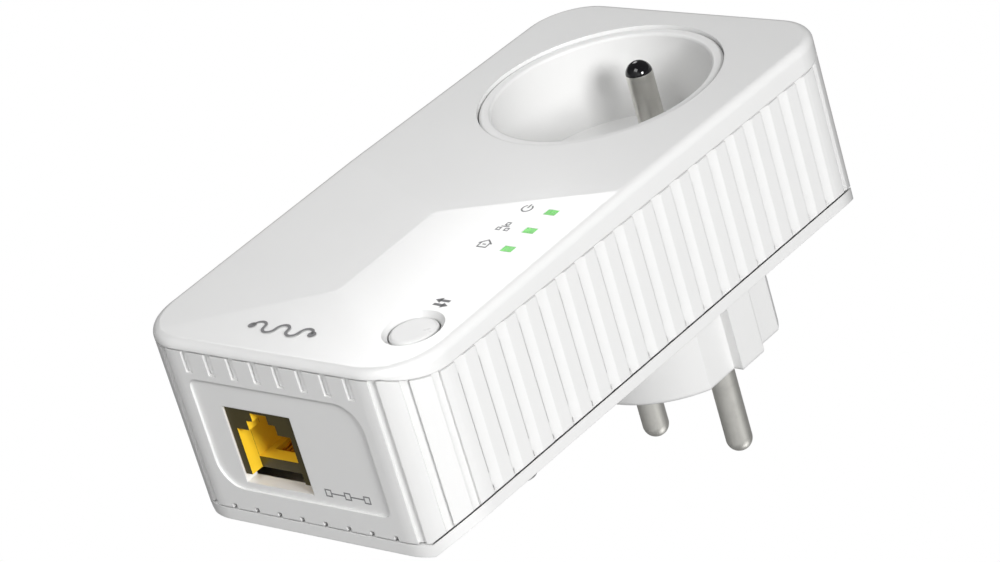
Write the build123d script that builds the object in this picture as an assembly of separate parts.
"""Powerline adapter with a pass-through Type E socket, as an assembly of separate pieces.

Frame, in millimetres: the adapter hangs in a wall socket. X points right, seen from the front.
Y points into the wall. Z points up. The origin is the centre of the plug's face.
"""
from build123d import *
import math
import os

# ---------------------------------------------------------------- overall sizes
WIDTH = 61.0                # across the side walls
LENGTH = 117.2              # from the port end to the socket end
BODY_DEPTH = 35.0           # from the front face to the rear face
CORNER_R = 10.4             # plan corners of the body
SOCKET_TO_TOP = 27.6        # from the socket's axis to the socket end
PLUG_DEPTH = 18.0           # from the rear face to the plug's face

# ---------------------------------------------------------------- shells
EDGE_R = 1.5                # rounded front edge
COVER_PLATE = 2.2           # front plate
COVER_WALL = 1.9            # skirt of the front cover
HOUSING_WALL = 3.0          # ribbed wall
REAR_PLATE = 2.0            # rear cover
SIDE_SKIRT = 4.6            # height of the front cover's skirt at the sides
END_SKIRT = 2.8             # height of the front cover's skirt at the ends
REAR_RIM = 2.3              # height of the rear cover's visible rim
REAR_SLOPE_X = 6.0          # sloped long sides of the rear cover, across
REAR_SLOPE_Y = 4.0          # sloped long sides of the rear cover, in depth
SEAM_GAP = 0.3              # visible joint between two shells
LAP_DEPTH = 1.2             # inner tongue of the housing that laps into each cover
LAP_GAP = 0.1
FACE_BAND = 1.8             # depth of the band whose outer edges are rounded

# low hip facets on the port half of the front face, measured up from the port end
RIDGE_START = 44.6          # where the ridge starts
APEX_RISE = 19.6            # where three facets meet
CREASE_SIDE = 57.6          # where the crease reaches the side edge
SIDE_FACET_SLOPE = 0.0225
END_FACET_SLOPE = 0.034

# ---------------------------------------------------------------- ribs and vents
RIB_PITCH = 5.12
SIDE_PLAIN = 12.5           # length at each end of a long side without vented grooves
GROOVE_WIDTH = 2.4
GROOVE_DEPTH = 0.8
GROOVE_FLOOR = 0.7          # flat part beside the steep flank
SLOT_WIDTH = 0.8
SLOT_FROM_FRONT_SEAM = 2.6
SLOT_FROM_REAR_SEAM = 3.2
END_GROOVE_WIDTH = 1.5
END_GROOVE_DEPTH = 0.6
SHORT_GROOVES = 8
SHORT_GROOVE_LENGTH = 4.0
GROOVE_TIP = 1.0            # length of the groove tips at the rear seam
PIT_SIZE = 0.9              # small pit at the rear end of each groove
PIT_DEPTH = 1.3

# ---------------------------------------------------------------- port panel and jack
PANEL_WIDTH = 37.4
PANEL_HEIGHT = 20.4
PANEL_CENTRE_X = -0.3
PANEL_FROM_REAR = 6.6       # rear edge of the panel to the rear face
PANEL_RECESS = 0.4
PANEL_SMALL_R = 1.8
PANEL_LARGE_R = 5.0
JACK_X = -5.9
PORT_WIDTH = 15.1
PORT_HEIGHT = 14.4
PORT_FROM_REAR = 8.0        # rear edge of the cut-out to the rear face
JACK_WIDTH = 15.8
JACK_HEIGHT = 13.5
JACK_LENGTH = 21.0
JACK_SETBACK = 0.2          # jack's shoulder behind the inside of the end wall
JACK_NOSE_SET = 0.3         # jack's nose behind the panel round it
JACK_MOUTH_WIDTH = 11.9
JACK_MOUTH_HEIGHT = 6.8
JACK_MOUTH_DEPTH = 14.5
LATCH_WIDTH = 6.4
LATCH_HEIGHT = 1.8
LATCH_INNER_WIDTH = 3.6
LATCH_INNER_HEIGHT = 1.6
JACK_FRONT_WALL = 1.3       # from the logic board to the latch's narrow step
COMB_WIDTH = 9.2
COMB_DEPTH = 1.6
COMB_START = 2.5            # behind the jack's shoulder
JACK_WIRES = 8
JACK_WIRE_PITCH = 1.02
JACK_WIRE = 0.45

# ---------------------------------------------------------------- clearances
FIT = 0.05                  # radial clearance of a fit
LOOSE = 0.15                # clearance between fixed pieces
RUN_GAP = 0.3               # between moving and fixed pieces
OVER = 1.0                  # how far a cut runs past the face it opens

# ---------------------------------------------------------------- socket recess
RECESS_R = 19.4
RECESS_DEPTH = 15.4
INSERT_R = RECESS_R + 2.15  # rim that shows in the front cover
INSERT_SET = 0.5            # rim below the front face
INSERT_GAP = 0.15
INSERT_WALL = 1.6
INSERT_FLOOR = 2.4
INSERT_FLANGE_R = INSERT_R + 2.05
INSERT_FLANGE = 1.6
RIM_EDGE_R = 0.5
PIN_SPACING = 19.0
PIN_R = 2.4
PIN_HOLE_R = PIN_R + 0.35
PIN_SHANK_R = PIN_R - 0.3     # thinner part of every pin inside its plastic
PIN_NECK = 0.2              # the full diameter starts this far from the face
EARTH_RISE = 10.0           # earth pin above the socket's axis
EARTH_PIN_LENGTH = 15.0     # from the recess floor to the tip
EARTH_COLLAR_R = PIN_R + 1.0
EARTH_COLLAR = 0.9

# ---------------------------------------------------------------- plug
PLUG_R = 18.9
PLUG_FLAT_X = PLUG_R - 3.0  # flats at the sides
PLUG_RIB_X = PLUG_R - 1.1   # central rib on each flat
PLUG_RIB_HEIGHT = 6.4
PLUG_EDGE_R = 0.8
PLUG_FLANGE_R = PLUG_R + 2.6
PLUG_FLANGE = 1.2
PLUG_PIN_LENGTH = 19.0
PIN_ROOT = 1.0              # pin root below the rear face's level, inside the plug body
PIN_RELIEF = 0.4            # depth of the wider ring round each pin at the plug's face
PIN_HEAD_R = PIN_R + 1.0
PIN_HEAD = 1.4
EARTH_STRIP_WIDTH = 2 * PIN_R + 1.2
EARTH_STRIP = 0.8
EARTH_STRIP_Z = PLUG_R - 0.8  # outer face of the side strips
EARTH_STRIP_END = 4.0       # strip's end short of the plug's face
EARTH_TUBE_END = 2.5        # female earth contact short of the plug's face
EARTH_HOLE_R = PIN_R + 0.6  # earth hole in the plug's face
TUBE_BORE_R = PIN_R + FIT   # female contacts grip a mating pin
TUBE_WALL = 0.75

# ---------------------------------------------------------------- shutter
SHUTTER_THICK = 1.5
SHUTTER_WIDTH = 27.0
SHUTTER_CORNER_R = 1.5
SHUTTER_WINDOW_R = PIN_HOLE_R + 0.2
SHUTTER_TRAVEL = PIN_HOLE_R + SHUTTER_WINDOW_R + 0.3
SHUTTER_LOWER = PIN_HOLE_R + 1.45                         # below the pin holes' line
SHUTTER_UPPER = SHUTTER_TRAVEL + SHUTTER_WINDOW_R + 1.25  # above the pin holes' line
SHUTTER_CHAMBER = SHUTTER_THICK + 2 * RUN_GAP             # depth of the chamber behind the floor
SHUTTER_FOOT_WIDTH = 5.0
SHUTTER_FOOT = 1.2
SHUTTER_FOOT_DEPTH = 4.6
SPRING_COIL_R = 1.5
SPRING_WIRE_R = 0.22
SPRING_TURNS = 7
SPRING_REST = 12.0

# ---------------------------------------------------------------- contact carrier
CARRIER_R = RECESS_R + 0.6
CARRIER_TO_PLUG = 0.5       # between the carrier and the plug's flange
CONTACT_SET = 1.6           # rear end of a female contact inside the carrier's rear face
CONTACT_SLOT = 1.0
BUS_THICK = 0.7
BUS_HEIGHT = 6.0
BUS_POCKET = 0.2            # extra room beside a contact in its pocket
LEAD_R = 0.9
LEAD_LIFT = 0.4             # lead's skin in front of the power board
LEAD_LAND = 3.0             # lead's end below the power board's top edge
LUG_R = 0.54

# ---------------------------------------------------------------- controls on the front
BUTTON_RISE = 8.9           # button's edge above the port end
BUTTON_R = 4.1
CONTROL_X = WIDTH / 2 - BUTTON_R - 4.6  # column of lamps and button
BUTTON_HOLE_R = BUTTON_R + 0.25
BUTTON_DISH_R = BUTTON_R + 1.05
BUTTON_DISH = 0.7
BUTTON_EDGE_R = 0.6
BUTTON_FLANGE_R = BUTTON_HOLE_R + 0.85
BUTTON_FLANGE = 0.9
BUTTON_SET = 0.25           # top of the cap below the local face
BUTTON_STEM_R = 1.5
BUTTON_TRAVEL = 0.5
LAMP_RISES = (48.7, 42.95, 37.2)  # above the port end
LAMP_WIDTH = 2.4
LAMP_HEIGHT = 1.7
LAMP_FIT = 0.05
GUIDE_WEB = 1.0
GUIDE_WEB_WIDTH = 3.6
GUIDE_SET = 0.05            # stem's end below the local face
GUIDE_TO_BOARD = 1.2        # stem's other end in front of the logic board
LAMP_CHIP = (2.0, 1.25, 0.9)
SWITCH_SIZE = 6.0
SWITCH_HEIGHT = 3.5
PLUNGER_R = 1.7
PLUNGER_HEIGHT = 1.2
PLUNGER_DEPTH = 1.4         # part of the plunger inside the switch
BUTTON_GAP = 0.1            # stem to plunger at rest

# ---------------------------------------------------------------- boards and screws
LOGIC_BOARD_SET = 10.4      # front of the logic board behind the front face
BOARD_THICK = 1.6
LOGIC_BOARD_WIDTH = WIDTH - 8.6
LOGIC_BOARD_TOP = INSERT_FLANGE_R + 3.4  # below the socket's axis
BOARD_EDGE_GAP = 0.5
POWER_BOARD_WIDTH = WIDTH - 20.4
POWER_BOARD_TOP = CARRIER_R + 6.0        # below the socket's axis
POWER_BOARD_HEIGHT = 39.0
POWER_BOARD_SET = 5.0       # rear of the power board in front of the rear face
POST_R = 3.0
POST_BORE_R = 1.25
SCREW_R = 1.22
SCREW_HEAD_R = 2.6
SCREW_HEAD = 1.6
SCREW_RECESS_R = 3.0
SCREW_RECESS = 2.6
SCREW_SEAT = 1.2            # material under the head
SCREW_BOSS_WALL = 1.0
SCREW_LENGTH = 9.0
POST_CLEAR = 0.6
BOARD_POST_R = 2.4
BOARD_SCREW_R = 0.95
BOARD_SCREW_HEAD_R = 2.0
BOARD_SCREW_HEAD = 1.2
LOGIC_SCREW_LENGTH = 6.0
POWER_SCREW_LENGTH = 5.4
BLIND = 0.6                 # material left behind a board screw's hole
CARRIER_SCREW_SET = 3.0     # head of a carrier screw inside the carrier's rear face
CARRIER_SCREW_X = 13.5
FLOOR_LEFT = 1.0            # recess floor left in front of a carrier screw
SLOT_LONG = 1.1             # cross recess, as parts of the head's radius
SLOT_THIN = 0.28
SLOT_DEEP = 0.5             # cross recess, as part of the head's height
SHEET_THICK = 0.4
SHEET_INSET = 0.6           # sheet's edge inside the power board's edge
LABEL_WIDTH = 34.0
LABEL_HEIGHT = 24.0
LABEL_THICK = 0.25
LABEL_RISE = 27.6           # centre above the port end

# ---------------------------------------------------------------- components on the boards
# each is x, distance below its board's top edge, width, height and depth
PROCESSOR = (-5.0, 23.0, 12.0, 12.0, 1.2)
THERMAL_PAD = 0.5
SINK_SIZE = 20.0
SINK_BASE = 1.5
SINK_FIN = 3.2
SINK_FIN_THICK = 1.0
SINK_FINS = 7
SINK_FIN_PITCH = 3.0
NETWORK_CHIP = (-3.0, 41.0, 7.0, 7.0, 0.9)
MEMORY_CHIP = (10.5, 23.0, 6.0, 8.0, 1.2)
CRYSTAL = (-17.0, 30.0, 3.2, 2.5, 0.8)
NETWORK_TRANSFORMER = (-8.4, 32.0, 12.7, 7.0, 5.5)
COUPLING_TRANSFORMER = (10.0, 42.0, 8.5, 8.5, 5.6)
TRANSFORMER_CORE = (6.5, 27.5, 15.0, 7.0, 12.5)
TRANSFORMER_WINDING = (6.5, 27.5, 10.0, 13.0, 10.5)
SAFETY_CAPACITOR = (13.5, 17.0, 12.0, 5.5, 10.0)
OPTOCOUPLER = (-10.5, 25.0, 4.6, 6.5, 3.5)
HEADER = (-18.5, 27.0, 2.5, 12.7, 2.5)
HEADER_PINS = 5
HEADER_PITCH = 2.54
HEADER_PIN = 0.64
# round components: x, distance below the top edge, radius and length
BULK_CAPACITOR = (-2.0, 15.0, 4.2, 15.0)
OUTPUT_CAPACITOR = (-8.0, 34.0, 3.1, 9.5)
NOISE_CHOKE = (-16.5, 12.5, 4.6, 4.4)
CHOKE_BORE_R = 2.0
FUSE = (4.0, 5.5, 2.6, 7.5)
VARISTOR = (13.0, 7.0, 4.0, 3.4)

# ---------------------------------------------------------------- derived places
HALF_W = WIDTH / 2
TOP = SOCKET_TO_TOP
BOTTOM = SOCKET_TO_TOP - LENGTH
MID_Z = (TOP + BOTTOM) / 2
REAR_Y = -PLUG_DEPTH
FRONT_Y = REAR_Y - BODY_DEPTH
COVER_BACK = FRONT_Y + COVER_PLATE
REAR_INSIDE = REAR_Y - REAR_PLATE
RIM_Y = FRONT_Y + INSERT_SET
FLOOR_Y = RIM_Y + RECESS_DEPTH
FLOOR_BACK = FLOOR_Y + INSERT_FLOOR
CARRIER_FRONT = FLOOR_BACK
PLUG_FLANGE_BACK = REAR_INSIDE
PLUG_FLANGE_FRONT = PLUG_FLANGE_BACK - PLUG_FLANGE
CARRIER_BACK = PLUG_FLANGE_FRONT - CARRIER_TO_PLUG
SIDE_SLOTS = 2 * int((LENGTH / 2 - SIDE_PLAIN) / RIB_PITCH) + 1
BUTTON_Z = BOTTOM + BUTTON_RISE + BUTTON_R
LAMP_PLACES = [BOTTOM + rise for rise in LAMP_RISES]
LABEL_Z = BOTTOM + LABEL_RISE
CARRIER_SCREW_Z = -SHUTTER_LOWER - SHUTTER_TRAVEL - 1.3
PIN_X = PIN_SPACING / 2
PIN_ROOT_Y = REAR_Y + PIN_ROOT
TUBE_R = TUBE_BORE_R + TUBE_WALL
LOGIC_FRONT = FRONT_Y + LOGIC_BOARD_SET
LOGIC_REAR = LOGIC_FRONT + BOARD_THICK
POWER_REAR = REAR_Y - POWER_BOARD_SET
POWER_FRONT = POWER_REAR - BOARD_THICK
PORT_Y = REAR_Y - PORT_FROM_REAR - PORT_HEIGHT / 2
JACK_REAR = LOGIC_REAR + JACK_HEIGHT
JACK_FACE_Z = BOTTOM + HOUSING_WALL + JACK_SETBACK
JACK_NOSE_Z = BOTTOM + PANEL_RECESS + JACK_NOSE_SET
POST_END = REAR_INSIDE - SCREW_SEAT - SCREW_RECESS + REAR_PLATE - LOOSE
LEAD_Y = POWER_FRONT - LEAD_R - LEAD_LIFT
CARRIER_SEAT = CARRIER_BACK - CARRIER_SCREW_SET - SCREW_HEAD
COMB_BACK = JACK_FACE_Z + JACK_LENGTH - 2.0
FAR = 300.0                 # longer than anything in the part

UPPER_POST_X = HALF_W - 7.9
UPPER_POST_Z = TOP - 8.0
LOWER_POST_X = HALF_W - 6.3
LOWER_POST_Z = BOTTOM + 23.6
POST_POINTS = (
    (UPPER_POST_X, UPPER_POST_Z),
    (-UPPER_POST_X, UPPER_POST_Z),
    (LOWER_POST_X, LOWER_POST_Z),
    (-LOWER_POST_X, LOWER_POST_Z),
)
LOGIC_POST_POINTS = (
    (8.0 - HALF_W, -LOGIC_BOARD_TOP - 4.5),
    (13.0, -LOGIC_BOARD_TOP - 4.5),
    (9.5 - HALF_W, BOTTOM + 7.6),
)
POWER_POST_POINTS = (
    (2.8 - POWER_BOARD_WIDTH / 2, -POWER_BOARD_TOP - 4.0),
    (POWER_BOARD_WIDTH / 2 - 2.8, -POWER_BOARD_TOP - 35.0),
)
CARRIER_POST_POINTS = ((-CARRIER_SCREW_X, CARRIER_SCREW_Z), (CARRIER_SCREW_X, CARRIER_SCREW_Z))


# ---------------------------------------------------------------- helpers
def depth_plane(y):
    """Plane across the depth at y, with local x = X and local y = Z, facing the front."""
    return Plane(origin=(0, y, 0), x_dir=(1, 0, 0), z_dir=(0, -1, 0))


def prism(sketch, front, rear):
    """Sketch in X and Z, extruded between two depths."""
    return extrude(depth_plane(rear) * sketch, rear - front)


def disc(radius, x, z, front, rear):
    """Round bar along Y."""
    return prism(Pos(x, z) * Circle(radius), front, rear)


def tube(outer, inner, x, z, front, rear):
    """Round tube along Y."""
    return prism(Pos(x, z) * (Circle(outer) - Circle(inner)), front, rear)


def block(left, right, front, rear, low, high):
    """Box between two values on each axis."""
    sketch = Pos((left + right) / 2, (low + high) / 2) * Rectangle(right - left, high - low)
    return prism(sketch, front, rear)


def centred_block(x, z, width, height, front, rear):
    """Box along Y, centred on x and z."""
    return prism(Pos(x, z) * Rectangle(width, height), front, rear)


def joined(shapes):
    """One shape from a list of shapes."""
    result = shapes[0]
    for shape in shapes[1:]:
        result = result + shape
    return result


def outline(inset=0.0):
    """Plan outline of the body, moved inward by inset."""
    width = WIDTH - 2 * inset
    height = LENGTH - 2 * inset
    return Pos(0, MID_Z) * RectangleRounded(width, height, CORNER_R - inset)


def along_length(points):
    """Closed outline in X and Y, extruded over the whole length."""
    face = make_face(Polyline(*points, close=True))
    return Pos(0, 0, MID_Z - FAR / 2) * extrude(face, FAR)


def front_of(middle, side, slope_x):
    """Everything in front of a parting surface that drops towards the long sides."""
    knee = HALF_W - slope_x
    beyond = HALF_W + slope_x
    past = 2 * side - middle
    right = [(beyond, -FAR), (beyond, past), (knee, middle)]
    left = [(-x, y) for x, y in reversed(right)]
    return along_length(right + left)


def front_parting(offset):
    """Space in front of the joint between the front cover and the housing."""
    return front_of(FRONT_Y + END_SKIRT + offset, FRONT_Y + SIDE_SKIRT + offset, REAR_SLOPE_X)


def rear_surface(offset):
    """Space in front of the rear face, with its sloped long sides."""
    return front_of(REAR_Y + offset, REAR_Y - REAR_SLOPE_Y + offset, REAR_SLOPE_X)


def rear_parting(offset):
    """Space in front of the joint between the housing and the rear cover."""
    return rear_surface(offset - REAR_RIM)


# ---------------------------------------------------------------- shells
def facet_cut(z, set_back, slope, direction):
    """Half space in front of one low facet that passes through a point on the ridge."""
    dx, dz = direction
    normal = (slope * dx, -1, slope * dz)
    plane = Plane(origin=(0, FRONT_Y + set_back, z), x_dir=(1, slope * dx, 0), z_dir=normal)
    return plane * Box(FAR, FAR, FAR / 4, align=(Align.CENTER, Align.CENTER, Align.MIN))


def crease_direction():
    """Unit direction in which the right-hand facet falls away."""
    down = CREASE_SIDE - RIDGE_START
    length = math.hypot(HALF_W, down)
    return down / length, -HALF_W / length


def hip_cuts():
    """Three half spaces that form the low hip towards the port end."""
    dx, dz = crease_direction()
    ridge_z = BOTTOM + RIDGE_START
    apex_z = BOTTOM + APEX_RISE
    apex_drop = SIDE_FACET_SLOPE * dz * (apex_z - ridge_z)
    return [
        facet_cut(ridge_z, 0, SIDE_FACET_SLOPE, (dx, dz)),
        facet_cut(ridge_z, 0, SIDE_FACET_SLOPE, (-dx, dz)),
        facet_cut(apex_z, apex_drop, END_FACET_SLOPE, (0, -1)),
    ]


def envelope():
    """Outer shape of the closed body."""
    body = prism(outline(), FRONT_Y, REAR_Y) & rear_surface(0)
    for cut in hip_cuts():
        body = body - cut
    rim = [edge for edge in body.edges() if edge.center().Y < FRONT_Y + FACE_BAND]
    outer = [edge for edge in rim if is_outer(edge)]
    return fillet(outer, EDGE_R)


def is_outer(edge):
    """Whether the edge lies on the plan outline's wall."""
    middle = edge.position_at(0.5)
    inside_x = abs(middle.X) < HALF_W - CORNER_R * 0.35
    inside_z = abs(middle.Z - MID_Z) < LENGTH / 2 - CORNER_R * 0.35
    return not (inside_x and inside_z)


def front_cover(body):
    """Front tray with its holes and screw posts."""
    cavity = prism(outline(COVER_WALL), COVER_BACK, REAR_Y)
    cover = (body & front_parting(-SEAM_GAP / 2)) - cavity
    for x, z in POST_POINTS:
        cover = cover + disc(POST_R, x, z, COVER_BACK, POST_END)
        cover = cover - disc(POST_BORE_R, x, z, POST_END - SCREW_LENGTH - OVER, POST_END)
    for x, z in LOGIC_POST_POINTS:
        cover = cover + disc(BOARD_POST_R, x, z, COVER_BACK, LOGIC_FRONT)
        cover = cover - disc(BOARD_SCREW_R + FIT, x, z, COVER_BACK + BLIND, LOGIC_FRONT)
    cover = cover - disc(INSERT_R + INSERT_GAP, 0, 0, FRONT_Y - OVER, COVER_BACK + OVER)
    cover = cover - disc(BUTTON_HOLE_R, CONTROL_X, BUTTON_Z, FRONT_Y - OVER, COVER_BACK + OVER)
    dish_plane = depth_plane(local_face(CONTROL_X, BUTTON_Z) + BUTTON_DISH)
    dish_foot = dish_plane * Pos(CONTROL_X, BUTTON_Z) * Circle(BUTTON_HOLE_R)
    dish_mouth = dish_plane.offset(2 * BUTTON_DISH) * Pos(CONTROL_X, BUTTON_Z)
    dish_mouth = dish_mouth * Circle(2 * BUTTON_DISH_R - BUTTON_HOLE_R)
    cover = cover - loft([dish_foot.face(), dish_mouth.face()])
    window = centred_block(CONTROL_X, 0, LAMP_WIDTH, LAMP_HEIGHT, FRONT_Y - OVER, COVER_BACK + OVER)
    for z in LAMP_PLACES:
        cover = cover - Pos(0, 0, z) * window
    return cover


def local_face(x, z):
    """Depth of the front face at a place on the right-hand facet or on the flat part."""
    dx, dz = crease_direction()
    run = dx * abs(x) + dz * (z - BOTTOM - RIDGE_START)
    return FRONT_Y + SIDE_FACET_SLOPE * max(run, 0)


def perimeter_place(distance):
    """Point and outward direction on the wall, from the middle of the port end towards +X and up."""
    flat = HALF_W - CORNER_R
    arc = CORNER_R * math.pi / 2
    if distance <= flat:
        return distance, BOTTOM, -90.0
    if distance <= flat + arc:
        turn = (distance - flat) / CORNER_R
        x = flat + CORNER_R * math.sin(turn)
        z = BOTTOM + CORNER_R - CORNER_R * math.cos(turn)
        return x, z, math.degrees(turn) - 90.0
    return HALF_W, BOTTOM + CORNER_R + distance - flat - arc, 0.0


def sloped_groove():
    """Groove section on the side wall: steep flank below, ramp above, outward along local x."""
    half = GROOVE_WIDTH / 2
    points = [
        (1, -half), (-GROOVE_DEPTH, -half), (-GROOVE_DEPTH, GROOVE_FLOOR - half), (0, half), (1, half),
    ]
    return make_face(Polyline(*points, close=True))


def even_groove():
    """Groove section on the end walls and corners."""
    return Pos((1 - END_GROOVE_DEPTH) / 2, 0) * Rectangle(1 + END_GROOVE_DEPTH, END_GROOVE_WIDTH)


def mirrored(shape):
    """The shape and its mirror image on the left-hand side."""
    return [shape, mirror(shape, about=Plane.YZ)]


def side_cuts():
    """Grooves, slots and pits of both long sides."""
    cuts = []
    slot_front = FRONT_Y + SIDE_SKIRT + SLOT_FROM_FRONT_SEAM
    seam = REAR_Y - REAR_SLOPE_Y - REAR_RIM
    slot_rear = seam - SLOT_FROM_REAR_SEAM
    for index in range(SIDE_SLOTS):
        z = MID_Z + (index - (SIDE_SLOTS - 1) / 2) * RIB_PITCH
        low = z - GROOVE_WIDTH / 2
        cuts += mirrored(prism(Pos(HALF_W, z) * sloped_groove(), FRONT_Y, REAR_Y))
        inside = HALF_W - HOUSING_WALL - OVER
        cuts += mirrored(block(inside, HALF_W + OVER, slot_front, slot_rear, low, low + SLOT_WIDTH))
        pit = block(HALF_W - PIT_DEPTH, HALF_W + OVER, seam - PIT_SIZE, seam, low, low + PIT_SIZE)
        cuts += mirrored(pit)
    return cuts


def corner_cuts():
    """Plain grooves of the four corners and of the long grooves beside them."""
    first = (SHORT_GROOVES + 1) / 2 * RIB_PITCH
    flat = HALF_W - CORNER_R
    arc = CORNER_R * math.pi / 2
    side_start = MID_Z - (SIDE_SLOTS - 1) / 2 * RIB_PITCH - BOTTOM - CORNER_R
    span = flat + arc + side_start - first
    steps = round(span / RIB_PITCH)
    cuts = []
    for index in range(steps):
        x, z, angle = perimeter_place(first + span * index / steps)
        section = Pos(x, z) * Rot(0, 0, angle) * even_groove()
        lower = prism(section, FRONT_Y, REAR_Y)
        upper = mirror(lower, about=Plane.XY.offset(MID_Z))
        cuts += mirrored(lower) + mirrored(upper)
    return cuts


def end_cuts():
    """Short grooves above and below the port panel, and full grooves on the socket end."""
    seam = FRONT_Y + END_SKIRT
    rear_seam = REAR_Y - REAR_RIM
    cuts = []
    for index in range(SHORT_GROOVES):
        x = (index - (SHORT_GROOVES - 1) / 2) * RIB_PITCH
        section = Pos(x, BOTTOM) * Rot(0, 0, -90) * even_groove()
        cuts.append(prism(section, FRONT_Y, seam + SHORT_GROOVE_LENGTH))
        half = PIT_SIZE / 2
        pit_front = rear_seam - GROOVE_TIP
        cuts.append(block(x - half, x + half, pit_front, REAR_Y, BOTTOM - OVER, BOTTOM + PIT_DEPTH))
        top_section = Pos(x, TOP) * Rot(0, 0, 90) * even_groove()
        cuts.append(prism(top_section, FRONT_Y, REAR_Y))
    return cuts


def port_cuts():
    """Recessed panel with two small and two large corners, and the jack's opening."""
    rear = REAR_Y - PANEL_FROM_REAR
    middle = rear - PANEL_HEIGHT / 2
    plane = Plane(origin=(PANEL_CENTRE_X, middle, BOTTOM + PANEL_RECESS), x_dir=(1, 0, 0), z_dir=(0, 0, -1))
    corner = (PANEL_WIDTH + PANEL_HEIGHT) / 2 - OVER
    panel = Rectangle(PANEL_WIDTH, PANEL_HEIGHT)
    panel = fillet([v for v in panel.vertices() if v.X * v.Y < 0], PANEL_SMALL_R)
    large = [v for v in panel.vertices() if v.X * v.Y > 0 and abs(v.X) + abs(v.Y) > corner]
    panel = fillet(large, PANEL_LARGE_R)
    recess = extrude(plane * panel, PANEL_RECESS + OVER)
    port = centred_block(JACK_X, 0, PORT_WIDTH, FAR, PORT_Y - PORT_HEIGHT / 2, PORT_Y + PORT_HEIGHT / 2)
    port = port & block(-HALF_W, HALF_W, FRONT_Y, REAR_Y, BOTTOM - OVER, JACK_FACE_Z + OVER)
    return [recess, port]


def main_housing():
    """Ribbed ring wall with a tongue at each joint."""
    wall = prism(outline() - outline(HOUSING_WALL), FRONT_Y, REAR_Y)
    middle = wall & rear_parting(-SEAM_GAP / 2)
    middle = middle - front_parting(SEAM_GAP / 2)
    inset = COVER_WALL + LAP_GAP
    tongue = prism(outline(inset) - outline(HOUSING_WALL), COVER_BACK + LAP_GAP, REAR_Y)
    tongue = tongue & rear_surface(-REAR_PLATE - LAP_GAP)
    tongue = tongue - front_parting(-LAP_DEPTH)
    cuts = side_cuts() + corner_cuts() + end_cuts() + port_cuts()
    return middle + tongue - Compound(children=cuts)


def rear_cover(body):
    """Rear shell with the plug's opening, screw recesses and board posts."""
    shell = body - rear_parting(SEAM_GAP / 2)
    pocket = prism(outline(COVER_WALL + LAP_GAP), FRONT_Y, REAR_Y) & rear_surface(-REAR_PLATE)
    cover = shell - pocket
    room = body & prism(outline(HOUSING_WALL + LAP_GAP), FRONT_Y, REAR_Y)
    for x, z in POST_POINTS:
        cover = cover + (disc(SCREW_RECESS_R + SCREW_BOSS_WALL, x, z, POST_END + LOOSE, REAR_Y) & room)
    for x, z in POST_POINTS:
        recess_floor = POST_END + LOOSE + SCREW_SEAT
        cover = cover - disc(SCREW_RECESS_R, x, z, recess_floor, REAR_Y + OVER)
        cover = cover - disc(SCREW_R + FIT, x, z, POST_END, REAR_Y)
    for x, z in POWER_POST_POINTS:
        cover = cover + disc(BOARD_POST_R, x, z, POWER_REAR, REAR_INSIDE)
        cover = cover - disc(BOARD_SCREW_R + FIT, x, z, POWER_REAR - OVER, REAR_Y - BLIND)
    cover = cover - disc(PLUG_R + LOOSE, 0, 0, FRONT_Y, REAR_Y + OVER)
    label = centred_block(0, LABEL_Z, LABEL_WIDTH, LABEL_HEIGHT, REAR_Y - LABEL_THICK, REAR_Y + OVER)
    return cover - label


def rating_label():
    """Blank rating plate let into the rear cover."""
    inset = 2 * LOOSE
    width = LABEL_WIDTH - inset
    height = LABEL_HEIGHT - inset
    return centred_block(0, LABEL_Z, width, height, REAR_Y - LABEL_THICK, REAR_Y)


# ---------------------------------------------------------------- socket
def socket_insert():
    """Recess cup with a flange behind the front plate."""
    wall_r = RECESS_R + INSERT_WALL
    flange_front = COVER_BACK
    insert = disc(INSERT_R, 0, 0, RIM_Y, flange_front)
    insert = insert + disc(INSERT_FLANGE_R, 0, 0, flange_front, flange_front + INSERT_FLANGE)
    insert = insert + disc(wall_r, 0, 0, flange_front, FLOOR_BACK)
    insert = insert - disc(RECESS_R, 0, 0, RIM_Y - OVER, FLOOR_Y)
    rim = [e for e in insert.edges() if e.geom_type == GeomType.CIRCLE and e.center().Y < RIM_Y + 0.01]
    insert = fillet(rim, RIM_EDGE_R)
    for x in (-PIN_X, PIN_X):
        insert = insert - disc(PIN_HOLE_R, x, 0, FLOOR_Y - OVER, FLOOR_BACK + OVER)
    insert = insert - disc(PIN_SHANK_R + FIT, 0, EARTH_RISE, FLOOR_Y - OVER, FLOOR_BACK + OVER)
    for x, z in CARRIER_POST_POINTS:
        insert = insert - disc(SCREW_R + FIT, x, z, FLOOR_Y + FLOOR_LEFT, FLOOR_BACK + OVER)
    return insert


def round_nose(radius, x, z, base, direction):
    """Half ball that closes a pin's end; direction is +1 into the wall and -1 to the front."""
    ball = Pos(x, base, z) * Sphere(radius)
    if direction > 0:
        return ball & block(x - radius, x + radius, base, base + radius, z - radius, z + radius)
    return ball & block(x - radius, x + radius, base - radius, base, z - radius, z + radius)


def socket_earth_pin():
    """Male earth pin of the recess, riveted to the earth frame behind it."""
    nose = FLOOR_Y - EARTH_PIN_LENGTH + PIN_R
    pin = disc(PIN_R, 0, EARTH_RISE, nose, FLOOR_Y - PIN_NECK)
    pin = pin + disc(PIN_SHANK_R, 0, EARTH_RISE, FLOOR_Y - PIN_NECK, earth_bridge_front())
    pin = pin + round_nose(PIN_R, 0, EARTH_RISE, nose, -1)
    return pin + disc(EARTH_COLLAR_R, 0, EARTH_RISE, FLOOR_BACK, FLOOR_BACK + EARTH_COLLAR)


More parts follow.
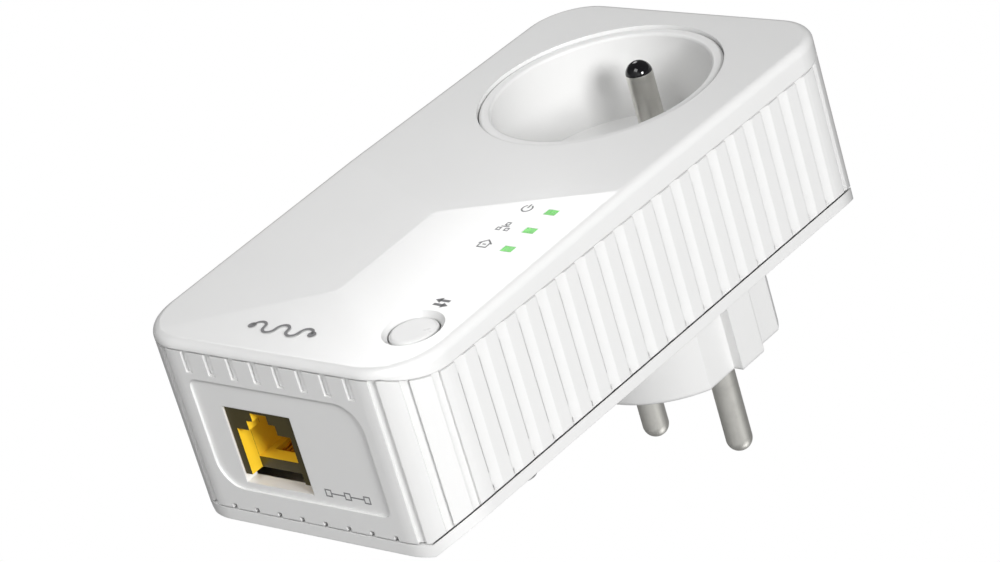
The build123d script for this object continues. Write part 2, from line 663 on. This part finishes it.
def shutter_sketch():
    """Shutter outline at rest, with its windows above the pin holes."""
    height = SHUTTER_LOWER + SHUTTER_UPPER
    centre = (SHUTTER_UPPER - SHUTTER_LOWER) / 2
    plate = Pos(0, centre) * RectangleRounded(SHUTTER_WIDTH, height, SHUTTER_CORNER_R)
    for x in (-PIN_X, PIN_X):
        plate = plate - Pos(x, SHUTTER_TRAVEL) * Circle(SHUTTER_WINDOW_R)
    notch_half = EARTH_COLLAR_R + RUN_GAP
    notch_low = EARTH_RISE - EARTH_COLLAR_R - RUN_GAP
    notch = Pos(0, notch_low + FAR / 2) * Rectangle(2 * notch_half, FAR)
    return plate - notch


def shutter_front():
    """Depth of the shutter's front face."""
    return FLOOR_BACK + RUN_GAP


def socket_shutter():
    """Sliding shutter with a foot that presses on the spring."""
    front = shutter_front()
    plate = prism(shutter_sketch(), front, front + SHUTTER_THICK)
    half = SHUTTER_FOOT_WIDTH / 2
    low = -SHUTTER_LOWER
    return plate + block(-half, half, front, front + SHUTTER_FOOT_DEPTH, low, low + SHUTTER_FOOT)


def spring_centre_y():
    """Depth of the spring's axis."""
    return shutter_front() + SHUTTER_FOOT_DEPTH - SPRING_COIL_R - SPRING_WIRE_R


def shutter_spring():
    """Compression spring under the shutter's foot, along Z."""
    pitch = SPRING_REST / (SPRING_TURNS + 0.5)
    height = SPRING_REST - 2 * SPRING_WIRE_R
    path = Helix(pitch=pitch, height=height, radius=SPRING_COIL_R)
    section = Plane(path @ 0, z_dir=path % 0) * Circle(SPRING_WIRE_R)
    coil = sweep(section, path=path)
    low = -SHUTTER_LOWER - SPRING_REST + SPRING_WIRE_R
    return Pos(0, spring_centre_y(), low) * coil


def chamber_cut():
    """Space of the shutter, its foot and its spring inside the carrier."""
    half = SHUTTER_WIDTH / 2 + RUN_GAP
    low = -SHUTTER_LOWER - SHUTTER_TRAVEL - RUN_GAP
    high = SHUTTER_UPPER + RUN_GAP
    chamber = block(-half, half, CARRIER_FRONT - OVER, CARRIER_FRONT + SHUTTER_CHAMBER, low, high)
    foot_half = SHUTTER_FOOT_WIDTH / 2 + RUN_GAP
    foot_high = -SHUTTER_LOWER + SHUTTER_FOOT + RUN_GAP
    foot_rear = shutter_front() + SHUTTER_FOOT_DEPTH + RUN_GAP
    foot_low = -SHUTTER_LOWER - SPRING_REST
    return chamber + block(-foot_half, foot_half, CARRIER_FRONT - OVER, foot_rear, foot_low, foot_high)


def contact_front():
    """Depth of the female contacts' front end."""
    return CARRIER_FRONT + SHUTTER_CHAMBER + RUN_GAP


def bus_outer():
    """X of the outer face of the bus strip beside the contact."""
    return PIN_X + TUBE_R + BUS_THICK


def power_contact(side):
    """Female contact for one mating pin, with the strip that joins it to the plug pin's root."""
    x = side * PIN_X
    front = contact_front()
    rear = CARRIER_BACK - CONTACT_SET
    contact = tube(TUBE_R, TUBE_BORE_R, x, 0, front, rear)
    slot_height = 2 * TUBE_WALL + OVER
    contact = contact - centred_block(x, TUBE_R, CONTACT_SLOT, slot_height, front - OVER, rear + OVER)
    half = BUS_HEIGHT / 2
    near = side * (PIN_X + TUBE_BORE_R + TUBE_WALL / 2)
    far = side * bus_outer()
    strip = block(min(near, far), max(near, far), front, PIN_ROOT_Y, -half, half)
    strip = strip - disc(TUBE_BORE_R + TUBE_WALL / 2, x, 0, front - OVER, REAR_Y)
    foot_inner = side * (PIN_X - PIN_R)
    foot = block(min(foot_inner, far), max(foot_inner, far), PIN_ROOT_Y - BUS_THICK, PIN_ROOT_Y, -half, half)
    return contact + strip + foot


def power_lead(side):
    """Insulated tap from the contact down to the power board."""
    x = side * PIN_X
    low = -POWER_BOARD_TOP - LEAD_LAND
    high = -TUBE_R - LOOSE
    wire = Pos(x, LEAD_Y, low) * extrude(Circle(LEAD_R), high - low)
    lug = Pos(x, LEAD_Y, low + LEAD_R) * Rot(-90, 0, 0) * extrude(Circle(LUG_R), POWER_FRONT - LEAD_Y)
    return wire + lug


def bus_pocket(side, half, front, rear):
    """Pocket for one contact and its strip."""
    inner = side * (PIN_X - TUBE_R - LOOSE)
    outer = side * (bus_outer() + LOOSE)
    return block(min(inner, outer), max(inner, outer), front, rear, -half, half)


def contact_carrier():
    """Insulating block behind the recess, with the shutter chamber and contact pockets."""
    carrier = disc(CARRIER_R, 0, 0, CARRIER_FRONT, CARRIER_BACK)
    carrier = carrier - chamber_cut()
    channel = LEAD_R + LOOSE
    half = TUBE_R + LOOSE + BUS_POCKET
    for side in (-1, 1):
        x = side * PIN_X
        front = LEAD_Y - channel
        groove = block(x - channel, x + channel, front, CARRIER_BACK + OVER, -CARRIER_R - OVER, 0)
        carrier = carrier - bus_pocket(side, half, CARRIER_FRONT, CARRIER_BACK + OVER) - groove
    collar_rear = FLOOR_BACK + EARTH_COLLAR + LOOSE
    carrier = carrier - disc(EARTH_COLLAR_R + LOOSE, 0, EARTH_RISE, CARRIER_FRONT - OVER, collar_rear)
    carrier = carrier - disc(PIN_SHANK_R + FIT, 0, EARTH_RISE, CARRIER_FRONT, CARRIER_BACK + OVER)
    for x, z in CARRIER_POST_POINTS:
        carrier = carrier - disc(SCREW_R + FIT, x, z, CARRIER_FRONT - OVER, CARRIER_BACK + OVER)
        carrier = carrier - disc(SCREW_RECESS_R, x, z, CARRIER_SEAT, CARRIER_BACK + OVER)
    return carrier


# ---------------------------------------------------------------- plug
def plug_section():
    """Plug outline: a disc with two side flats and a rib on each."""
    disc_part = Circle(PLUG_R) & Rectangle(2 * PLUG_FLAT_X, 2 * PLUG_R)
    ribs = Rectangle(2 * PLUG_RIB_X, PLUG_RIB_HEIGHT)
    return disc_part + ribs


def earth_bridge_front():
    """Depth of the front of the earth frame's bridge."""
    return PLUG_FLANGE_FRONT + LOOSE


def earth_frame_shape(grow):
    """Bridge with a strip at the top and one at the bottom of the plug."""
    half = EARTH_STRIP_WIDTH / 2 + grow
    outer = EARTH_STRIP_Z + grow
    inner = EARTH_STRIP_Z - EARTH_STRIP - grow
    front = earth_bridge_front() - grow
    end = -EARTH_STRIP_END + grow
    frame = block(-half, half, front, earth_bridge_front() + EARTH_STRIP + grow, -outer, outer)
    frame = frame + block(-half, half, front, end, inner, outer)
    return frame + block(-half, half, front, end, -outer, -inner)


def earth_frame():
    """Earth frame, drilled for the female earth contact."""
    return earth_frame_shape(0) - disc(TUBE_BORE_R, 0, EARTH_RISE, earth_bridge_front() + EARTH_STRIP, REAR_Y)


def earth_tube():
    """Female contact for the wall socket's earth pin."""
    front = earth_bridge_front() + EARTH_STRIP
    shape = tube(TUBE_R, TUBE_BORE_R, 0, EARTH_RISE, front, -EARTH_TUBE_END)
    slot = centred_block(0, EARTH_RISE - TUBE_R, CONTACT_SLOT, 2 * TUBE_WALL + OVER, front + 2 * OVER, 0)
    return shape - slot


def plug_body():
    """Insulating plug with a flange inside the rear cover."""
    body = prism(plug_section(), REAR_Y, 0)
    rim = [e for e in body.edges() if abs(e.center().Y) < 0.01 and e.length > 1]
    body = fillet(rim, PLUG_EDGE_R)
    body = body + disc(PLUG_R, 0, 0, PLUG_FLANGE_BACK, REAR_Y)
    body = body + disc(PLUG_FLANGE_R, 0, 0, PLUG_FLANGE_FRONT, PLUG_FLANGE_BACK)
    half = BUS_HEIGHT / 2 + LOOSE
    for side in (-1, 1):
        head_seat = disc(PIN_HEAD_R + FIT, side * PIN_X, 0, PIN_ROOT_Y - OVER, PIN_ROOT_Y + PIN_HEAD)
        body = body - bus_pocket(side, half, PLUG_FLANGE_FRONT - OVER, PIN_ROOT_Y) - head_seat
        body = body - disc(PIN_SHANK_R + FIT, side * PIN_X, 0, PIN_ROOT_Y, OVER)
        body = body - disc(PIN_R + FIT, side * PIN_X, 0, -PIN_RELIEF, OVER)
    body = body - earth_frame_shape(LOOSE)
    strip_half = EARTH_STRIP_WIDTH / 2 + LOOSE
    for side in (-1, 1):
        low = min(side * (EARTH_STRIP_Z - EARTH_STRIP), side * FAR)
        high = max(side * (EARTH_STRIP_Z - EARTH_STRIP), side * FAR)
        body = body - block(-strip_half, strip_half, REAR_Y + OVER, -EARTH_STRIP_END + LOOSE, low, high)
    body = body - disc(TUBE_R + LOOSE, 0, EARTH_RISE, earth_bridge_front(), -EARTH_TUBE_END)
    return body - disc(EARTH_HOLE_R, 0, EARTH_RISE, -EARTH_TUBE_END - OVER, OVER)


def plug_pin(side):
    """Solid round plug pin with a head inside the plug body."""
    x = side * PIN_X
    nose = PLUG_PIN_LENGTH - PIN_R
    pin = disc(PIN_SHANK_R, x, 0, PIN_ROOT_Y, PIN_NECK) + disc(PIN_R, x, 0, PIN_NECK, nose)
    pin = pin + round_nose(PIN_R, x, 0, nose, 1)
    return pin + disc(PIN_HEAD_R, x, 0, PIN_ROOT_Y, PIN_ROOT_Y + PIN_HEAD)


# ---------------------------------------------------------------- controls
def button_face():
    """Depth of the button's front at rest."""
    return local_face(CONTROL_X, BUTTON_Z) + BUTTON_SET


def plunger_front():
    """Depth of the switch plunger's front at rest."""
    return LOGIC_FRONT - SWITCH_HEIGHT - PLUNGER_HEIGHT


def pair_button():
    """Cap with a retaining flange and a stem."""
    flange_front = COVER_BACK + 2 * BUTTON_GAP
    z = BUTTON_Z
    cap = disc(BUTTON_R, CONTROL_X, z, button_face(), flange_front)
    rim = [e for e in cap.edges() if e.geom_type == GeomType.CIRCLE and e.center().Y < flange_front - OVER]
    cap = fillet(rim, BUTTON_EDGE_R)
    cap = cap + disc(BUTTON_FLANGE_R, CONTROL_X, z, flange_front, flange_front + BUTTON_FLANGE)
    return cap + disc(BUTTON_STEM_R, CONTROL_X, z, flange_front, plunger_front() - BUTTON_GAP)


def switch_plunger():
    """Moving pin of the tact switch."""
    return disc(PLUNGER_R, CONTROL_X, BUTTON_Z, plunger_front(), LOGIC_FRONT - SWITCH_HEIGHT + PLUNGER_DEPTH)


def pair_switch():
    """Tact switch body on the logic board."""
    front = LOGIC_FRONT - SWITCH_HEIGHT
    body = centred_block(CONTROL_X, BUTTON_Z, SWITCH_SIZE, SWITCH_SIZE, front, LOGIC_FRONT)
    well = front + PLUNGER_DEPTH + BUTTON_TRAVEL + BUTTON_GAP
    return body - disc(PLUNGER_R + FIT, CONTROL_X, BUTTON_Z, front - OVER, well)


def light_guide():
    """Clear moulding: three stems joined by a web behind the front plate."""
    stem_w = LAMP_WIDTH - 2 * LAMP_FIT
    stem_h = LAMP_HEIGHT - 2 * LAMP_FIT
    stems = []
    for z in LAMP_PLACES:
        front = local_face(CONTROL_X, z) + GUIDE_SET
        stems.append(centred_block(CONTROL_X, z, stem_w, stem_h, front, LOGIC_FRONT - GUIDE_TO_BOARD))
    low = LAMP_PLACES[-1] - LAMP_HEIGHT
    high = LAMP_PLACES[0] + LAMP_HEIGHT
    half = GUIDE_WEB_WIDTH / 2
    web = block(CONTROL_X - half, CONTROL_X + half, COVER_BACK, COVER_BACK + GUIDE_WEB, low, high)
    return joined(stems) + web


def status_lamps():
    """Three surface-mounted lamps under the light guide."""
    width, height, depth = LAMP_CHIP
    return [centred_block(CONTROL_X, z, width, height, LOGIC_FRONT - depth, LOGIC_FRONT) for z in LAMP_PLACES]


# ---------------------------------------------------------------- network jack
def jack_mouth_low():
    """Rear wall of the plug opening, where the spring wires lie."""
    return LOGIC_REAR + JACK_FRONT_WALL + LATCH_HEIGHT + LATCH_INNER_HEIGHT + JACK_MOUTH_HEIGHT


def network_jack():
    """Housing of the 8-way jack: latch steps towards the front, spring comb towards the rear."""
    left = JACK_X - JACK_WIDTH / 2
    right = JACK_X + JACK_WIDTH / 2
    back = JACK_FACE_Z + JACK_LENGTH
    jack = block(left, right, LOGIC_REAR, JACK_REAR, JACK_FACE_Z, back)
    nose_front = PORT_Y - PORT_HEIGHT / 2 + LOOSE
    nose = centred_block(JACK_X, 0, PORT_WIDTH - 2 * LOOSE, FAR, nose_front, JACK_REAR)
    jack = jack + (nose & block(left, right, nose_front, JACK_REAR, JACK_NOSE_Z, JACK_FACE_Z))
    rear_wall = jack_mouth_low()
    mouth_front = rear_wall - JACK_MOUTH_HEIGHT
    latch_front = mouth_front - LATCH_HEIGHT
    inner_front = latch_front - LATCH_INNER_HEIGHT
    inside = JACK_FACE_Z + JACK_MOUTH_DEPTH
    steps = ((JACK_MOUTH_WIDTH, mouth_front), (LATCH_WIDTH, latch_front), (LATCH_INNER_WIDTH, inner_front))
    for width, front in steps:
        half = width / 2
        jack = jack - block(JACK_X - half, JACK_X + half, front, rear_wall, JACK_NOSE_Z - OVER, inside)
    half = JACK_MOUTH_WIDTH / 2
    low = JACK_NOSE_Z - OVER
    jack = jack - block(JACK_X - half, JACK_X + half, mouth_front, JACK_REAR + OVER, low, JACK_FACE_Z)
    half = COMB_WIDTH / 2
    low = JACK_FACE_Z + COMB_START
    comb = block(JACK_X - half, JACK_X + half, rear_wall, rear_wall + COMB_DEPTH, low, COMB_BACK)
    return jack - comb


def wire_points():
    """Side outline of one spring wire, as Y and Z, from its bend near the opening to the comb's end."""
    wall = jack_mouth_low()
    bend = JACK_FACE_Z + COMB_START + 0.7
    tip = JACK_FACE_Z + 12.0
    tail = COMB_BACK - RUN_GAP
    outer = [(wall + 1.3, tail), (wall + 1.3, bend), (wall + 0.3, bend), (wall + 0.3, bend + 1.0)]
    inner = [(wall - 2.4, tip), (wall + 0.75, bend + 1.2 + JACK_WIRE), (wall + 0.75, tail)]
    return outer + inner


def jack_contacts():
    """Eight spring wires that slope from the comb into the opening."""
    wires = []
    section = make_face(Polyline(*[(0, y, z) for y, z in wire_points()], close=True))
    for index in range(JACK_WIRES):
        x = JACK_X + (index - (JACK_WIRES - 1) / 2) * JACK_WIRE_PITCH
        wires.append(Pos(x - JACK_WIRE / 2, 0, 0) * extrude(section, JACK_WIRE, dir=(1, 0, 0)))
    return wires


# ---------------------------------------------------------------- boards and their components
def logic_board():
    """Front board: lamps, switch, chips and the jack."""
    half = LOGIC_BOARD_WIDTH / 2
    low = BOTTOM + HOUSING_WALL + BOARD_EDGE_GAP
    board = block(-half, half, LOGIC_FRONT, LOGIC_REAR, low, -LOGIC_BOARD_TOP)
    middle = (low - LOGIC_BOARD_TOP) / 2
    corners = [e for e in board.edges().filter_by(Axis.Y) if e.center().Z < middle]
    board = fillet(corners, CORNER_R - HOUSING_WALL)
    for x, z in POST_POINTS:
        board = board - disc(POST_R + POST_CLEAR, x, z, LOGIC_FRONT - OVER, LOGIC_REAR + OVER)
    for x, z in LOGIC_POST_POINTS:
        board = board - disc(BOARD_SCREW_R + FIT, x, z, LOGIC_FRONT - OVER, LOGIC_REAR + OVER)
    return board


def power_board():
    """Rear board: mains supply and line coupling."""
    half = POWER_BOARD_WIDTH / 2
    low = -POWER_BOARD_TOP - POWER_BOARD_HEIGHT
    board = block(-half, half, POWER_FRONT, POWER_REAR, low, -POWER_BOARD_TOP)
    for x, z in POWER_POST_POINTS:
        board = board - disc(BOARD_SCREW_R + FIT, x, z, POWER_FRONT - OVER, POWER_REAR + OVER)
    return board


def insulation_sheet():
    """Thin sheet between the power board's solder side and the rear cover."""
    half = POWER_BOARD_WIDTH / 2 - SHEET_INSET
    low = -POWER_BOARD_TOP - POWER_BOARD_HEIGHT
    rear = REAR_INSIDE - BOARD_EDGE_GAP
    sheet = block(-half, half, rear - SHEET_THICK, rear, low, -POWER_BOARD_TOP)
    for x, z in POWER_POST_POINTS:
        sheet = sheet - disc(BOARD_POST_R + LOOSE, x, z, rear - 2, rear + OVER)
    return sheet


def on_power(x, below, width, height, depth):
    """Component that stands on the front of the power board."""
    return centred_block(x, -POWER_BOARD_TOP - below, width, height, POWER_FRONT - depth, POWER_FRONT)


def on_logic_front(x, below, width, height, depth, lift=0.0):
    """Component on the front of the logic board."""
    rear = LOGIC_FRONT - lift
    return centred_block(x, -LOGIC_BOARD_TOP - below, width, height, rear - depth, rear)


def on_logic_rear(x, below, width, height, depth):
    """Component on the rear of the logic board."""
    return centred_block(x, -LOGIC_BOARD_TOP - below, width, height, LOGIC_REAR, LOGIC_REAR + depth)


def lying_can(x, below, radius, length):
    """Round component that lies on the power board along X."""
    can = Cylinder(radius, length, rotation=(0, 90, 0))
    return Pos(x, POWER_FRONT - radius, -POWER_BOARD_TOP - below) * can


def standing_can(x, below, radius, length):
    """Round component that stands on the power board."""
    return disc(radius, x, -POWER_BOARD_TOP - below, POWER_FRONT - length, POWER_FRONT)


def power_transformer():
    """Ferrite core with its winding."""
    return on_power(*TRANSFORMER_CORE) + on_power(*TRANSFORMER_WINDING)


def noise_choke():
    """Toroid that stands on edge."""
    x, below, radius, length = NOISE_CHOKE
    bore = Cylinder(CHOKE_BORE_R, length + OVER, rotation=(0, 90, 0))
    return lying_can(x, below, radius, length) - Pos(x, POWER_FRONT - radius, -POWER_BOARD_TOP - below) * bore


def thermal_pad():
    """Pad between the processor and its heat sink."""
    x, below, width, height, depth = PROCESSOR
    return on_logic_front(x, below, width, height, THERMAL_PAD, depth)


def heat_sink():
    """Finned block over the processor."""
    x, below, _, _, depth = PROCESSOR
    lift = depth + THERMAL_PAD
    base = on_logic_front(x, below, SINK_SIZE, SINK_SIZE, SINK_BASE, lift)
    fins = []
    for index in range(SINK_FINS):
        fin_x = x + (index - (SINK_FINS - 1) / 2) * SINK_FIN_PITCH
        fins.append(on_logic_front(fin_x, below, SINK_FIN_THICK, SINK_SIZE, SINK_FIN, lift + SINK_BASE))
    return base + joined(fins)


def header_pins():
    """Five square pins that join the two boards."""
    x, below, _, _, depth = HEADER
    pins = []
    for index in range(HEADER_PINS):
        z = -POWER_BOARD_TOP - below + (index - (HEADER_PINS - 1) / 2) * HEADER_PITCH
        pins.append(centred_block(x, z, HEADER_PIN, HEADER_PIN, LOGIC_REAR, POWER_FRONT - depth))
    return pins


# ---------------------------------------------------------------- screws
def screw(place, seat, length, radius, head_r, head, direction):
    """Pan-head screw along Y; direction -1 drives towards the front, +1 towards the wall."""
    x, z = place
    tip = seat + direction * length
    top = seat - direction * head
    shank = disc(radius, x, z, min(seat, tip), max(seat, tip))
    cap = disc(head_r, x, z, min(seat, top), max(seat, top))
    floor = top + direction * head * SLOT_DEEP
    above = top - direction * OVER
    cross = (min(floor, above), max(floor, above))
    slot = centred_block(x, z, head_r * SLOT_LONG, head_r * SLOT_THIN, *cross)
    slot = slot + centred_block(x, z, head_r * SLOT_THIN, head_r * SLOT_LONG, *cross)
    return shank + cap - slot


def housing_screws():
    """Four screws through the rear cover into the front cover's posts."""
    seat = POST_END + LOOSE + SCREW_SEAT
    return [screw(place, seat, SCREW_LENGTH, SCREW_R, SCREW_HEAD_R, SCREW_HEAD, -1) for place in POST_POINTS]


def board_screws():
    """Screws of both boards."""
    size = (BOARD_SCREW_R, BOARD_SCREW_HEAD_R, BOARD_SCREW_HEAD)
    logic = [screw(place, LOGIC_REAR, LOGIC_SCREW_LENGTH, *size, -1) for place in LOGIC_POST_POINTS]
    power = [screw(place, POWER_FRONT, POWER_SCREW_LENGTH, *size, 1) for place in POWER_POST_POINTS]
    return logic + power


def carrier_screws():
    """Two screws through the carrier into the recess floor."""
    length = CARRIER_SEAT - FLOOR_Y - FLOOR_LEFT - LOOSE
    size = (length, SCREW_R, SCREW_HEAD_R, SCREW_HEAD)
    return [screw(place, CARRIER_SEAT, *size, -1) for place in CARRIER_POST_POINTS]


# ---------------------------------------------------------------- assembly
def build():
    """Every node of the adapter, by name."""
    body = envelope()
    return {
        "front_cover": front_cover(body),
        "main_housing": main_housing(),
        "rear_cover": rear_cover(body),
        "rating_label": rating_label(),
        "socket_insert": socket_insert(),
        "socket_earth_pin": socket_earth_pin(),
        "socket_shutter": socket_shutter(),
        "shutter_spring": shutter_spring(),
        "contact_carrier": contact_carrier(),
        "line_contact": power_contact(1),
        "neutral_contact": power_contact(-1),
        "line_lead": power_lead(1),
        "neutral_lead": power_lead(-1),
        "plug_body": plug_body(),
        "line_pin": plug_pin(1),
        "neutral_pin": plug_pin(-1),
        "earth_frame": earth_frame(),
        "earth_tube": earth_tube(),
        "pair_button": pair_button(),
        "switch_plunger": switch_plunger(),
        "pair_switch": pair_switch(),
        "light_guide": light_guide(),
        "status_lamps": status_lamps(),
        "network_jack": network_jack(),
        "jack_contacts": jack_contacts(),
        "logic_board": logic_board(),
        "power_board": power_board(),
        "insulation_sheet": insulation_sheet(),
        "processor": on_logic_front(*PROCESSOR),
        "thermal_pad": thermal_pad(),
        "heat_sink": heat_sink(),
        "network_chip": on_logic_front(*NETWORK_CHIP),
        "memory_chip": on_logic_front(*MEMORY_CHIP),
        "crystal": on_logic_front(*CRYSTAL),
        "network_transformer": on_logic_rear(*NETWORK_TRANSFORMER),
        "coupling_transformer": on_logic_rear(*COUPLING_TRANSFORMER),
        "power_transformer": power_transformer(),
        "bulk_capacitor": lying_can(*BULK_CAPACITOR),
        "output_capacitor": standing_can(*OUTPUT_CAPACITOR),
        "safety_capacitor": on_power(*SAFETY_CAPACITOR),
        "noise_choke": noise_choke(),
        "fuse": standing_can(*FUSE),
        "varistor": lying_can(*VARISTOR),
        "optocoupler": on_power(*OPTOCOUPLER),
        "board_header": on_power(*HEADER),
        "header_pins": header_pins(),
        "housing_screws": housing_screws(),
        "board_screws": board_screws(),
        "carrier_screws": carrier_screws(),
    }


def save(nodes):
    """One STEP file per node."""
    os.makedirs("parts", exist_ok=True)
    for name, shape in nodes.items():
        if isinstance(shape, list):
            shape = Compound(children=shape)
        export_step(shape, f"parts/{name}.step")
        print(name, round(shape.volume, 1))


save(build())
